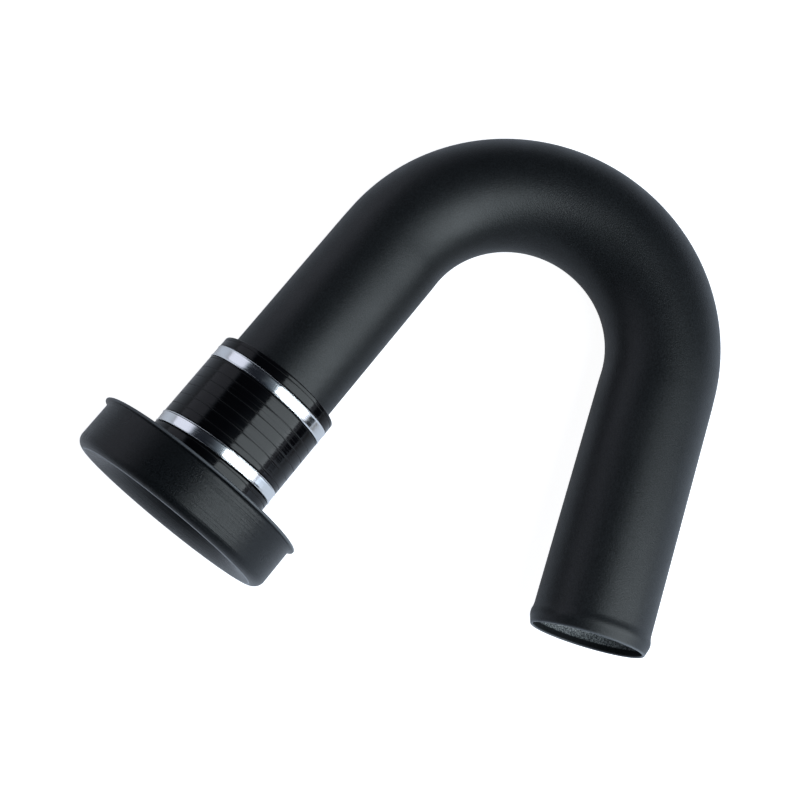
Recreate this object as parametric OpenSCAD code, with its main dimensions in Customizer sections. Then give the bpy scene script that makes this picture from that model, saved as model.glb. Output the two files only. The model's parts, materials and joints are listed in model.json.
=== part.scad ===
// Cold air intake pipe: a bent tube with a beaded mouth, a hose coupler held by
// two worm-drive clamps, and a spun filter adapter with a bell mouth.
// It lies on its side as it comes to rest, on the adapter's lip and the bend.

/* [Tube] */
// Outside diameter of the bent tube
tube_od = 76.2; // [60:0.1:90]
// Wall of the tube
tube_wall = 1.8; // [1.2:0.1:2.6]
// Radius of the bend, measured to the tube's centre line
bend_radius = 100.5; // [90:0.5:150]
// How much slimmer the wall is all round where the tube was drawn over the mandrel
bend_slim = 0.15; // [0.12:0.01:0.25]
// Angle that the bend turns through
bend_angle = 159.5; // [135:0.5:165]
// Straight length from the bend to the rim of the open mouth
mouth_leg = 174; // [120:1:260]
// Straight length from the bend to the tube's end inside the coupler
filter_leg = 158; // [130:1:220]

/* [Mouth bead] */
// How far the bead stands proud of the tube
bead_rise = 1.3; // [0.6:0.1:2.4]
// Outer radius of the bead's rounded crest
bead_arc = 4.5; // [3.5:0.1:6]
// Radius of the hollow where the tube flares into the bead
bead_fillet = 7.5; // [5:0.5:12]
// Angle through which the rim curls inwards past the crest
rim_curl = 55; // [40:1:70]

/* [Coupler] */
// Wall of the hose coupler
coupler_wall = 5.8; // [4:0.1:8]
// Length of the coupler
coupler_length = 79; // [66:1:100]
// How far the tube reaches into the coupler
tube_insert = 38; // [20:1:45]
// Gap inside the coupler between the tube's end and the adapter's neck
pipe_gap = 4; // [2:0.5:8]
// Rounding of the coupler's outer corners
coupler_round = 0.8; // [0.5:0.1:3]
// Distance from the coupler's tube end to the first wrap line
wrap_start = 2.6; // [2:0.1:7]
// Distance from one wrap line to the next
wrap_pitch = 7.4; // [5:0.1:10]
// Width of a wrap line
wrap_width = 0.65; // [0.3:0.05:1]
// Depth of a wrap line
wrap_depth = 0.25; // [0.1:0.05:0.5]
// How far a tightened band sinks into the coupler
clamp_squeeze = 0.8; // [0.3:0.1:1.2]

/* [Clamps] */
// Width of the clamp band
band_width = 8; // [7:0.5:12]
// Thickness of the clamp band
band_thick = 0.7; // [0.5:0.1:1]
// Height of the rolled ridge along each edge of the band
ridge_rise = 0.35; // [0.2:0.05:0.6]
// Width of the rolled ridge
ridge_width = 1.1; // [0.7:0.1:1.6]
// Distance from the coupler's tube end to the middle of the upper clamp
upper_inset = 11.2; // [8:0.1:14]
// Distance from the coupler's adapter end to the middle of the lower clamp
lower_inset = 15.4; // [9:0.1:18]
// How far the upper clamp sits askew on the coupler
upper_cock = 1.9; // [0:0.1:3.5]
// Where around the coupler the upper clamp leans furthest toward the adapter
upper_cock_at = 250; // [0:5:355]
// How far the lower clamp sits askew on the coupler
lower_cock = 2.4; // [0:0.1:3.5]
// Where around the coupler the lower clamp leans furthest toward the adapter
lower_cock_at = 355; // [0:5:355]
// Where the upper clamp's screw housing sits around the coupler
upper_turn = 96; // [60:1:130]
// Where the lower clamp's screw housing sits around the coupler
lower_turn = 82; // [60:1:130]
// Angle of band that the slotted tail laps past the housing
tail_angle = 34; // [20:1:60]
// Distance from one slot of the tail to the next
slot_pitch = 3.2; // [2.4:0.1:4.5]
// Width of a slot in the tail
slot_width = 1; // [0.6:0.1:1.5]
// Strip of the tail left beside each end of a slot
slot_edge = 0.9; // [0.6:0.1:1.4]
// Slant of the slots, which follows the worm's thread
slot_slant = 8; // [0:1:12]
// Radius of the worm screw's barrel
worm_radius = 3.3; // [2.6:0.1:4]
// Length of the screw housing along the band
housing_length = 13; // [10:0.5:16]
// Sheet thickness of the screw housing
housing_wall = 1.1; // [0.8:0.1:1.5]
// Size of the screw's hexagon across its flats
hex_flats = 7; // [5.5:0.5:8]
// Length of the screw's hexagon head
hex_length = 4.6; // [3:0.1:6]
// Bevel on the corners of the hexagon head
hex_bevel = 0.8; // [0.3:0.1:1.2]
// Width of the screwdriver slot
driver_width = 1; // [0.8:0.1:1.4]
// Depth of the screwdriver slot
driver_depth = 1.6; // [1:0.1:2.4]

/* [Adapter] */
// Outside diameter of the adapter's cylindrical wall
adapter_od = 146.8; // [132:0.1:165]
// Sheet thickness of the spun adapter
adapter_wall = 2; // [1.4:0.1:2.6]
// Depth from the lip to the crest of the open face
adapter_depth = 33.8; // [28:0.1:45]
// Gap along the axis from the lip's face to the coupler's end, inwards positive
lip_overlap = 0.6; // [-2:0.1:3]
// How far the lip flares out past the wall
lip_reach = 2.8; // [2:0.1:4]
// Inner radius of the bend between wall and lip
lip_fillet = 1.5; // [0.8:0.1:2]
// Outer radius of the rounded corner at the open face
corner_radius = 7; // [5:0.5:9]
// Depth of the bell from the crest to the throat
bell_depth = 27; // [20:0.5:27]

/* [Fits] */
// Radial gap between the hose and the tube or neck inside it
hose_gap = 0.15; // [0.1:0.05:0.3]
// Gap between the clamp's own pieces
clamp_gap = 0.15; // [0.1:0.05:0.3]

/* [Resting] */
// Where around the bend the tube touches the ground
rest_bearing = 42.1; // [20:0.1:80]

/* [Hidden] */
$fn = 96;

coat_black = [0.11, 0.12, 0.13];
hose_black = [0.04, 0.04, 0.05];
steel_bright = [0.80, 0.81, 0.83];
steel_plated = [0.70, 0.70, 0.69];

// Radii of the tube and of the bead
tube_r = tube_od / 2;
bore_r = tube_r - tube_wall;
bead_r = tube_r + bead_rise;
bead_swing = acos(1 - bead_rise / (bead_arc + bead_fillet));
curl_r = bead_arc - tube_wall / 2;
crest_at = mouth_leg - curl_r * sin(rim_curl) - tube_wall / 2;
flare_at = crest_at - (bead_arc + bead_fillet) * sin(bead_swing);
// The full wall runs this far into the slimmer bend
bend_lap = 1;
// A cut runs this far past the face that it leaves
overrun = 1;

// Stations along the filter leg, from the end of the bend
coupler_at = filter_leg - tube_insert;
coupler_end = coupler_at + coupler_length;
neck_at = filter_leg + pipe_gap;
upper_at = coupler_at + upper_inset;
lower_at = coupler_end - lower_inset;
lip_at = coupler_end - lip_overlap;
crest_plane = lip_at + adapter_depth;
throat_at = crest_plane - bell_depth;

// Radii of the coupler and of the clamps on it
coupler_in = tube_r + hose_gap;
coupler_r = coupler_in + coupler_wall;
seat_r = coupler_r - clamp_squeeze;
seat_side = 0.4;
band_in = seat_r + clamp_gap;
band_out = band_in + band_thick;
tail_out = band_out + band_thick;
tail_width = band_width - 2 * ridge_width - 2 * clamp_gap;
slot_floor = band_out + band_thick / 3;
slot_length = tail_width - 2 * slot_edge;
worm_axis = tail_out + clamp_gap + max(worm_radius, hex_flats / 2);
tunnel_r = worm_radius + clamp_gap;
arch_r = tunnel_r + housing_wall;
saddle_in = tail_out + clamp_gap;
saddle_angle = 2 * asin(housing_length / 2 / saddle_in);
ear_in = band_width / 2 + seat_side;
ear_out = ear_in + housing_wall;
ear_low = coupler_r + 3 * clamp_gap;

// Radii of the adapter
shell_r = adapter_od / 2;
crest_r = shell_r - corner_radius;
lip_r = shell_r + lip_reach;
neck_r = tube_r;
throat_r = neck_r - adapter_wall;

// Points along an arc, from one angle to another
function arc(centre, r, from, to, n = 10) =
    [for (i = [0:n]) let (a = from + (to - from) * i / n) centre + r * [cos(a), sin(a)]];

// Points along a quarter ellipse with its own two half axes
function quarter_ellipse(centre, half, from, to, n = 16) =
    [for (i = [0:n]) let (a = from + (to - from) * i / n)
        centre + [half.x * cos(a), half.y * sin(a)]];

// Furthest reach along a direction of a ring with a rounded edge
function ring_reach(centre, axis, r, edge, way) =
    centre * way + r * sqrt(max(0, 1 - pow(axis * way, 2))) + edge;

// The filter leg's axis, and a point on it at a station
leg_axis = [-sin(bend_angle), cos(bend_angle), 0];
leg_start = bend_radius * [cos(bend_angle), sin(bend_angle), 0];
function on_leg(station) = leg_start + station * leg_axis;

// Reach of the lip, of the adapter's corner, of the bead and of the bend
function lip_reach_to(way) = ring_reach(on_leg(lip_at + adapter_wall / 2), leg_axis,
    lip_r - adapter_wall / 2, adapter_wall / 2, way);
function corner_reach_to(way) = ring_reach(on_leg(crest_plane - corner_radius), leg_axis,
    crest_r, corner_radius, way);
function bead_reach_to(way) = ring_reach([bend_radius, -crest_at, 0], [0, 1, 0],
    bead_r - bead_arc, bead_arc, way);
function bend_reach_to(way) = let (a = atan2(way.y, way.x))
    a >= 0 && a <= bend_angle
        ? bend_radius * norm([way.x, way.y]) + tube_r - bend_slim
        : bend_radius * way.x + tube_r - bend_slim;
function part_reach(way) = max(lip_reach_to(way), corner_reach_to(way),
    bead_reach_to(way), bend_reach_to(way));

// The lean at which the lip and the bend touch the ground together
function ground_way(lean) =
    [sin(lean) * cos(rest_bearing), sin(lean) * sin(rest_bearing), -cos(lean)];
function settle(low, high, steps) = let (mid = (low + high) / 2)
    steps == 0 ? mid
    : bend_reach_to(ground_way(mid)) < lip_reach_to(ground_way(mid))
        ? settle(mid, high, steps - 1)
        : settle(low, mid, steps - 1);
down = ground_way(settle(0, 40, 40));

// The lying frame: up from the ground, across the legs and along the mouth leg
up_way = -down;
across_raw = [1, 0, 0] - up_way.x * up_way;
across_way = across_raw / norm(across_raw);
along_way = cross(up_way, across_way);
centre_x = (part_reach(across_way) - part_reach(-across_way)) / 2;
centre_y = (part_reach(along_way) - part_reach(-along_way)) / 2;
ground_z = part_reach(down);

// Lays the part on the ground, centred over the origin
module at_rest() {
    multmatrix([
        [across_way.x, across_way.y, across_way.z, -centre_x],
        [along_way.x, along_way.y, along_way.z, -centre_y],
        [up_way.x, up_way.y, up_way.z, ground_z],
        [0, 0, 0, 1]]) children();
}

// Puts a piece on the filter leg: its z runs along the leg, y to the hidden side
module on_filter_leg() {
    at_rest() rotate([0, 0, bend_angle]) translate([bend_radius, 0, 0])
        rotate([-90, 0, 0]) children();
}

// Leans what is on the leg toward the adapter, furthest at a place around it
module leaned(cock, cock_at) {
    rotate([0, 0, cock_at]) rotate([0, -cock, 0]) rotate([0, 0, -cock_at]) children();
}

// Puts a piece of the upper clamp at its station, leaned and turned about the leg
module at_upper_clamp(turn) {
    translate([0, 0, upper_at]) leaned(upper_cock, upper_cock_at)
        rotate([0, 0, turn]) children();
}

// Puts a piece of the lower clamp at its station, leaned and turned about the leg
module at_lower_clamp(turn) {
    translate([0, 0, lower_at]) leaned(lower_cock, lower_cock_at)
        rotate([0, 0, turn]) children();
}

// Section of the mouth leg's wall: straight, flared, beaded and curled in
function mouth_section() = let (
        hollow = [tube_r + bead_fillet, flare_at],
        crest = [bead_r - bead_arc, crest_at],
        rim = crest + curl_r * [cos(rim_curl), sin(rim_curl)])
    concat(
        [[bore_r, -bend_lap], [tube_r, -bend_lap]],
        arc(hollow, bead_fillet, 180, 180 - bead_swing, 6),
        arc(crest, bead_arc, -bead_swing, rim_curl, 12),
        arc(rim, tube_wall / 2, rim_curl + 30, rim_curl + 150, 6),
        arc(crest, bead_arc - tube_wall, rim_curl, -bead_swing, 10),
        arc(hollow, bead_fillet + tube_wall, 180 - bead_swing, 180, 6));

module intake_tube() {
    color(coat_black) at_rest() union() {
        translate([bend_radius, 0, 0]) rotate([90, 0, 0])
            rotate_extrude() polygon(mouth_section());
        rotate_extrude(angle = bend_angle) translate([bend_radius, 0]) difference() {
            circle(r = tube_r - bend_slim);
            circle(r = bore_r + bend_slim);
        }
        rotate([0, 0, bend_angle]) translate([bend_radius, 0, 0]) rotate([-90, 0, 0])
            rotate_extrude() translate([bore_r, -bend_lap])
            square([tube_wall, filter_leg + bend_lap]);
    }
}

// Stations of the wrap lines, kept clear of the clamps and of the ends
function wrap_lines() = let (
        room = band_width / 2 + seat_side + wrap_width,
        upper_room = room + coupler_r * sin(upper_cock),
        lower_room = room + coupler_r * sin(lower_cock),
        first = coupler_at + max(wrap_start, coupler_round + wrap_width),
        last = coupler_end - coupler_round - 2 * wrap_width)
    [for (y = [first : wrap_pitch : last])
        if (abs(y - upper_at) > upper_room && abs(y - lower_at) > lower_room) y];

module coupler_sleeve() {
    half_line = wrap_width / 2;
    section = concat(
        [[coupler_in, coupler_at]],
        arc([coupler_r - coupler_round, coupler_at + coupler_round], coupler_round, -90, 0, 6),
        [for (y = wrap_lines()) each [
            [coupler_r, y - half_line],
            [coupler_r - wrap_depth, y],
            [coupler_r, y + half_line]]],
        arc([coupler_r - coupler_round, coupler_end - coupler_round], coupler_round, 0, 90, 6),
        [[coupler_in, coupler_end]]);
    color(hose_black) on_filter_leg() difference() {
        rotate_extrude() polygon(section);
        at_upper_clamp(0) clamp_seat();
        at_lower_clamp(0) clamp_seat();
    }
}

// The shallow groove that a tightened band presses into the coupler
module clamp_seat() {
    rotate_extrude() translate([seat_r, -band_width / 2 - seat_side])
        square([clamp_squeeze + overrun, band_width + 2 * seat_side]);
}

// Section of the spun adapter: neck, bell, rounded corner, wall and flared lip
function adapter_section() = let (
        corner = [crest_r, crest_plane - corner_radius],
        turn_in = [shell_r + lip_fillet, lip_at + adapter_wall + lip_fillet],
        edge = [lip_r - adapter_wall / 2, lip_at + adapter_wall / 2],
        bell = [crest_r, throat_at])
    concat(
        [[throat_r, neck_at], [neck_r, neck_at]],
        quarter_ellipse(bell, [crest_r - neck_r, bell_depth - adapter_wall], 180, 90),
        arc(corner, corner_radius - adapter_wall, 90, 0, 8),
        arc(turn_in, lip_fillet + adapter_wall, 180, 270, 8),
        arc(edge, adapter_wall / 2, -90, 90, 8),
        arc(turn_in, lip_fillet, 270, 180, 6),
        arc(corner, corner_radius, 0, 90, 10),
        quarter_ellipse(bell, [crest_r - throat_r, bell_depth], 90, 180));

module filter_adapter() {
    color(coat_black) on_filter_leg() rotate_extrude() polygon(adapter_section());
}

// Clamp band: a ridged ring with a slotted tail lapped over it
module clamp_band() {
    half = band_width / 2;
    ridge = ridge_width / 2;
    section = concat(
        [[band_in, half], [band_in, -half], [band_out, -half]],
        [for (i = [1:5]) let (a = 180 * i / 6)
            [band_out + ridge_rise * sin(a), -half + ridge - ridge * cos(a)]],
        [[band_out, -half + ridge_width], [band_out, half - ridge_width]],
        [for (i = [1:5]) let (a = 180 * i / 6)
            [band_out + ridge_rise * sin(a), half - ridge - ridge * cos(a)]],
        [[band_out, half]]);
    slot_step = slot_pitch / band_out * 180 / PI;
    tail_root = band_out - band_thick / 2;
    difference() {
        union() {
            rotate_extrude() polygon(section);
            rotate([0, 0, -saddle_angle / 2]) rotate_extrude(angle = tail_angle + saddle_angle)
                translate([tail_root, -tail_width / 2]) square([tail_out - tail_root, tail_width]);
        }
        for (a = [saddle_angle / 2 + slot_step / 2 : slot_step : tail_angle])
            rotate([0, 0, a]) translate([slot_floor, 0, 0]) rotate([slot_slant, 0, 0])
                translate([0, -slot_width / 2, -slot_length / 2])
                cube([tail_out - slot_floor + overrun, slot_width, slot_length]);
    }
}

// Screw housing: a saddle that straddles the band, with an arched tunnel on it
module clamp_housing() {
    union() {
        rotate([0, 0, -saddle_angle / 2]) rotate_extrude(angle = saddle_angle) difference() {
            translate([ear_low, -ear_out])
                square([saddle_in + housing_wall - ear_low, 2 * ear_out]);
            translate([band_in, -ear_in]) square([saddle_in - band_in, 2 * ear_in]);
            translate([saddle_in - overrun, -tunnel_r])
                square([housing_wall + 2 * overrun, 2 * tunnel_r]);
        }
        translate([0, housing_length / 2, 0]) rotate([90, 0, 0])
            linear_extrude(housing_length) difference() {
                union() {
                    translate([worm_axis, 0]) circle(r = arch_r);
                    translate([saddle_in, -arch_r]) square([worm_axis - saddle_in, 2 * arch_r]);
                }
                translate([worm_axis, 0]) circle(r = tunnel_r);
                translate([saddle_in - overrun, -tunnel_r])
                    square([worm_axis - saddle_in + overrun, 2 * tunnel_r]);
                translate([0, -arch_r - overrun])
                    square([saddle_in + housing_wall / 2, 2 * (arch_r + overrun)]);
            }
    }
}

// Worm screw: a barrel in the tunnel, a collar and a slotted hexagon head
module clamp_screw() {
    collar = housing_wall;
    head_at = housing_length / 2 + clamp_gap;
    head_end = head_at + collar + hex_length;
    hex_r = hex_flats / 2 / cos(30);
    translate([worm_axis, 0, 0]) rotate([-90, 0, 0]) difference() {
        union() {
            translate([0, 0, -housing_length / 2]) cylinder(r = worm_radius, h = housing_length + collar);
            translate([0, 0, head_at]) cylinder(r = hex_flats / 2, h = collar);
            intersection() {
                translate([0, 0, head_at]) rotate([0, 0, 30])
                    cylinder(r = hex_r, h = collar + hex_length, $fn = 6);
                rotate_extrude() polygon([[0, head_at], [hex_r, head_at],
                    [hex_r, head_end - hex_bevel * tan(30)],
                    [hex_r - hex_bevel, head_end], [0, head_end]]);
            }
        }
        translate([-hex_r, -driver_width / 2, head_end - driver_depth])
            cube([2 * hex_r, driver_width, driver_depth + overrun]);
    }
}

module upper_clamp_band() {
    color(steel_bright) on_filter_leg() at_upper_clamp(upper_turn) clamp_band();
}

module upper_clamp_housing() {
    color(steel_plated) on_filter_leg() at_upper_clamp(upper_turn) clamp_housing();
}

module upper_clamp_screw() {
    color(steel_plated) on_filter_leg() at_upper_clamp(upper_turn) clamp_screw();
}

module lower_clamp_band() {
    color(steel_bright) on_filter_leg() at_lower_clamp(lower_turn) clamp_band();
}

module lower_clamp_housing() {
    color(steel_plated) on_filter_leg() at_lower_clamp(lower_turn) clamp_housing();
}

module lower_clamp_screw() {
    color(steel_plated) on_filter_leg() at_lower_clamp(lower_turn) clamp_screw();
}

intake_tube();
coupler_sleeve();
filter_adapter();
upper_clamp_band();
upper_clamp_housing();
upper_clamp_screw();
lower_clamp_band();
lower_clamp_housing();
lower_clamp_screw();
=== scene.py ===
"""Looks of a cold air intake pipe that lies on a white sweep.

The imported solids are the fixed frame.  Every surface that shows is worked out
here with numpy on a grid of two parameters: a closed profile of stations and
radii carried along the pipe's centre line, or turned about one of its legs.
Lengths are metres unless a name ends in _mm, and angles are radians unless a
name ends in _deg.
"""

import json
import logging
import math
from dataclasses import dataclass
from enum import Enum
from typing import Dict, List, Optional, Sequence, Tuple

import bmesh
import bpy
import numpy as np
from mathutils import Matrix, Vector


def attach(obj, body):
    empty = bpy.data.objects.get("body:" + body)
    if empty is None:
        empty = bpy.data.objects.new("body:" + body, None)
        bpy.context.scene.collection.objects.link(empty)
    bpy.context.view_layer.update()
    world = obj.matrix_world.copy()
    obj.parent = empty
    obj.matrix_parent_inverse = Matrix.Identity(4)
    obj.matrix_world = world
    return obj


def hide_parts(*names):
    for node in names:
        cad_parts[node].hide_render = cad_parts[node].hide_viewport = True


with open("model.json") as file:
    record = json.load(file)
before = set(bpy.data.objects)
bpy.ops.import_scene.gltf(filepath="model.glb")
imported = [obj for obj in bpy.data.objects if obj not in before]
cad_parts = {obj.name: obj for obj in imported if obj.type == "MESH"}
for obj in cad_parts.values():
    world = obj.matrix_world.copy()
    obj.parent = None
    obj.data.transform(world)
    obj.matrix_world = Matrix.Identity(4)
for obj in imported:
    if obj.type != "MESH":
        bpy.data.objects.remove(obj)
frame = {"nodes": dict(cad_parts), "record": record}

LOG = logging.getLogger("intake_pipe")
MM = 0.001
IMAGE_WIDTH = 800
SENSOR_MM = 36.0
BEND_RADIUS = 100.5 * MM
SPIGOT_STATION = 129 * MM

# Noise seldom leaves this span, and a colour mix has its colours in these sockets.
NOISE_SPAN = {"From Min": 0.3, "From Max": 0.7}
MIX_FIRST, MIX_SECOND = 6, 7

Array = np.ndarray
Colour = Tuple[float, float, float, float]


class Lay(Enum):
    """How the marks of its making lie on a metal."""

    ROLLED = "along the strip"
    TUMBLED = "all ways"


class Slot(Enum):
    """The names of the record's material slots for this script's own pieces."""

    POWDER_COAT = "powder_coat"
    ADAPTER_COAT = "adapter_coat"
    COUPLER_RUBBER = "coupler_rubber"
    BAND_STEEL = "band_steel"


def unit(vector: Array) -> Array:
    """The vector at length one: v / |v|."""
    return vector / np.linalg.norm(vector)


@dataclass(frozen=True)
class Axes:
    """A round piece's own frame: an origin, the axis it is turned about and
    the direction that counts as angle nought."""

    origin: Array
    along: Array
    out: Array

    @property
    def side(self) -> Array:
        """The third axis, along x out."""
        return np.cross(self.along, self.out)

    def moved(self, station: float) -> "Axes":
        """The same axes further along, at origin + station * along."""
        return Axes(self.origin + station * self.along, self.along, self.out)

    def turned(self, angle: float) -> "Axes":
        """The axes turned about their own axis: out' = cos a out + sin a side."""
        out = math.cos(angle) * self.out + math.sin(angle) * self.side
        return Axes(self.origin, self.along, out)

    def leaned(self, angle: float) -> "Axes":
        """The axes leaned about their side: along' = cos a along - sin a out.

        Args:
            angle: The lean.

        Returns:
            The leaned axes, at the same origin.
        """
        along = math.cos(angle) * self.along - math.sin(angle) * self.out
        out = math.sin(angle) * self.along + math.cos(angle) * self.out
        return Axes(self.origin, along, out)

    def place(self, points: Array) -> Array:
        """Local x (out), y (side), z (along) taken to the row frame.

        Args:
            points: An array whose last axis holds x, y and z.

        Returns:
            The same array in the row frame: o + x out + y side + z along.
        """
        basis = np.stack([self.out, self.side, self.along])
        return self.origin + points @ basis


@dataclass(frozen=True)
class PipeLine:
    """The pipe's centre line: mouth leg, bend and filter leg, all in one plane.

    The station s is nought where the mouth leg meets the bend, negative along
    the mouth leg and past the bend's length along the filter leg.
    """

    bend_radius: float
    mouth_axis: Array
    filter_axis: Array
    mouth_start: Array

    @classmethod
    def from_record(cls, record: Dict, bend_radius: float, spigot_station: float) -> "PipeLine":
        """Finds the centre line from the record's two mounts.

        Args:
            record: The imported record.
            bend_radius: Radius of the bend's centre line.
            spigot_station: How far along the mouth leg its mount stands.

        Returns:
            The centre line in the row frame.
        """
        mounts = {mount["name"]: mount for mount in record["mounts"]}
        spigot = mounts["mouth_spigot"]
        mouth = unit(np.array(spigot["axis"], float))
        leg = unit(np.array(mounts["filter_seat"]["axis"], float))
        start = np.array(spigot["pos_m"], float) - spigot_station * mouth
        return cls(bend_radius, mouth, leg, start)

    @property
    def normal(self) -> Array:
        """The plane's normal, up from the ground: mouth axis x filter axis, turned up."""
        normal = unit(np.cross(self.mouth_axis, self.filter_axis))
        return normal if normal[2] > 0 else -normal

    @property
    def outward(self) -> Array:
        """From the bend's centre to the mouth leg: the mouth axis x the normal, turned out."""
        out = unit(np.cross(self.mouth_axis, self.normal))
        return out if out @ self.filter_axis < 0 else -out

    @property
    def turn(self) -> float:
        """Angle of the bend: the way in along the mouth leg turned to the filter leg."""
        cosine = float(np.clip(-self.mouth_axis @ self.filter_axis, -1, 1))
        return math.acos(cosine)

    @property
    def bend_length(self) -> float:
        """Length of the bend's centre line: R times its angle."""
        return self.bend_radius * self.turn

    def at(self, stations: Array) -> Tuple[Array, Array]:
        """Centre points and outward directions along the line.

        With phi = clip(s / R, 0, turn): the bend's point is
        centre + R (cos phi out + sin phi way), and a leg adds its own straight
        length along the tangent.

        Args:
            stations: Lengths along the line.

        Returns:
            The centres and the directions away from the bend's centre.
        """
        way = -self.mouth_axis
        out = self.outward
        centre = self.mouth_start - self.bend_radius * out
        phi = np.clip(stations / self.bend_radius, 0, self.turn)[:, None]
        outward = np.cos(phi) * out + np.sin(phi) * way
        tangent = -np.sin(phi) * out + np.cos(phi) * way
        over = (stations - np.clip(stations, 0, self.bend_length))[:, None]
        return centre + self.bend_radius * outward + over * tangent, outward

    def filter_leg(self) -> Axes:
        """The filter leg's axes: its start, its axis and the way off the bend's centre."""
        centres, outward = self.at(np.array([self.bend_length]))
        return Axes(centres[0], self.filter_axis, outward[0])


def grid_mesh(name: str, grid: Array, loop_u: bool, loop_v: bool) -> bpy.types.Object:
    """Makes a smooth quad mesh from a grid of points.

    The quad (i, j) joins points (i, j), (i, j+1), (i+1, j+1) and (i+1, j).  Its
    UV map holds the lengths in metres along the two directions.

    Args:
        name: The piece's name.
        grid: Points as an array of rows, columns and three.
        loop_u: Whether the last row joins the first.
        loop_v: Whether the last column joins the first.

    Returns:
        The new object, at the origin, with its faces outwards.
    """
    rows, columns = grid.shape[:2]
    i = np.arange(rows if loop_u else rows - 1)
    j = np.arange(columns if loop_v else columns - 1)
    i, j = (a.ravel() for a in np.meshgrid(i, j, indexing="ij"))
    i1, j1 = (i + 1) % rows, (j + 1) % columns
    quads = np.stack([i * columns + j, i * columns + j1, i1 * columns + j1, i1 * columns + j], 1)
    points = grid.reshape(-1, 3)
    if enclosed_volume(points, quads) < 0:
        quads = quads[:, ::-1]
        corner_u, corner_v = np.stack([i + 1, i + 1, i, i], 1), np.stack([j, j + 1, j + 1, j], 1)
    else:
        corner_u, corner_v = np.stack([i, i, i + 1, i + 1], 1), np.stack([j, j + 1, j + 1, j], 1)
    mesh = bpy.data.meshes.new(name)
    mesh.vertices.add(len(points))
    mesh.vertices.foreach_set("co", points.astype(np.float32).ravel())
    mesh.loops.add(quads.size)
    mesh.loops.foreach_set("vertex_index", quads.astype(np.int32).ravel())
    mesh.polygons.add(len(quads))
    mesh.polygons.foreach_set("loop_start", np.arange(0, quads.size, 4, dtype=np.int32))
    mesh.update(calc_edges=True)
    mesh.polygons.foreach_set("use_smooth", np.ones(len(quads), bool))
    length_u = row_lengths(grid, loop_u)
    length_v = row_lengths(grid.swapaxes(0, 1), loop_v)
    uv = np.stack([length_v[corner_v], length_u[corner_u]], -1)
    layer = mesh.uv_layers.new(name="surface")
    layer.data.foreach_set("uv", uv.astype(np.float32).ravel())
    piece = bpy.data.objects.new(name, mesh)
    bpy.context.scene.collection.objects.link(piece)
    return piece


def set_values(piece: bpy.types.Object, name: str, values: Array) -> None:
    """Writes one number per mesh point as an attribute that a material can read."""
    layer = piece.data.attributes.new(name, "FLOAT", "POINT")
    layer.data.foreach_set("value", values.astype(np.float32).ravel())


def merge_doubles(piece: bpy.types.Object) -> None:
    """Joins the points that fall together where a grid closes in a pole, and turns
    its faces out.

    Args:
        piece: The piece to mend.
    """
    work = bmesh.new()
    work.from_mesh(piece.data)
    bmesh.ops.remove_doubles(work, verts=work.verts, dist=1e-7)
    bmesh.ops.recalc_face_normals(work, faces=work.faces)
    work.to_mesh(piece.data)
    work.free()


def enclosed_volume(points: Array, quads: Array) -> float:
    """The signed volume inside quads: a sixth of the sum of a . (b x c) over both
    triangles of each, which is below nought where they face inwards."""
    a, b, c, d = (points[quads[:, k]] for k in range(4))
    return float((a * np.cross(b, c)).sum() + (a * np.cross(c, d)).sum()) / 6


def row_lengths(grid: Array, loop: bool) -> Array:
    """Mean length along a grid's rows, from nought: the running sum of the steps.

    Args:
        grid: Points as an array of rows, columns and three.
        loop: Whether the last row joins the first.

    Returns:
        A length for each row, and one more where the rows close.
    """
    closed = np.concatenate([grid, grid[:1]]) if loop else grid
    steps = np.linalg.norm(np.diff(closed, axis=0), axis=2).mean(1)
    return np.concatenate([[0.0], np.cumsum(steps)])


def arc(centre: Sequence[float], radius: float, start: float, end: float, count: int) -> Array:
    """Points on an arc: c + r (cos a, sin a), with a in degrees from start to end."""
    angle = np.radians(np.linspace(start, end, count))
    return np.asarray(centre) + radius * np.stack([np.cos(angle), np.sin(angle)], 1)


def quarter_ellipse(centre: Sequence[float], half: Sequence[float], start: float, end: float,
                    count: int) -> Array:
    """Points on an ellipse: c + (a cos t, b sin t), with t in degrees."""
    angle = np.radians(np.linspace(start, end, count))
    return np.asarray(centre) + np.stack([half[0] * np.cos(angle), half[1] * np.sin(angle)], 1)


def line(start: Sequence[float], end: Sequence[float], step: float) -> Array:
    """Points along a line at about the given step, without its last point.

    Args:
        start: The line's first point.
        end: Where it ends.
        step: About how far apart two points are.

    Returns:
        The points as rows: start + share * (end - start).
    """
    start, end = np.asarray(start, float), np.asarray(end, float)
    count = max(1, int(round(np.linalg.norm(end - start) / step)))
    share = np.arange(count)[:, None] / count
    return start + share * (end - start)


def turn_profile(profile: Array, theta: Array) -> Array:
    """Local points of a turned profile: (r cos t, r sin t, z)."""
    radius, station = profile[:, 0][:, None], profile[:, 1][:, None]
    return np.stack([radius * np.cos(theta), radius * np.sin(theta), station + 0 * theta], -1)


def revolved(name: str, axes: Axes, profile: Array, count: int) -> bpy.types.Object:
    """Turns a closed profile about an axis: P(i, t) = o + r_i (cos t out + sin t side) + z_i along.

    Args:
        name: The piece's name.
        axes: The axes that the profile turns about.
        profile: Closed profile as rows of radius and station.
        count: Steps round the axis.

    Returns:
        The new object.
    """
    theta = np.linspace(0, 2 * np.pi, count, endpoint=False)
    return grid_mesh(name, axes.place(turn_profile(profile, theta)), True, True)


def linear(hex_colour: str) -> Colour:
    """An sRGB hex value as linear colour.

    Each part c becomes c / 12.92 up to 0.04045, and else ((c + 0.055) / 1.055) ^ 2.4.

    Args:
        hex_colour: The value as #rrggbb.

    Returns:
        Red, green and blue, and an alpha of one.
    """
    parts = [int(hex_colour[k : k + 2], 16) / 255 for k in (1, 3, 5)]
    r, g, b = (c / 12.92 if c <= 0.04045 else ((c + 0.055) / 1.055) ** 2.4 for c in parts)
    return (r, g, b, 1.0)


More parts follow.
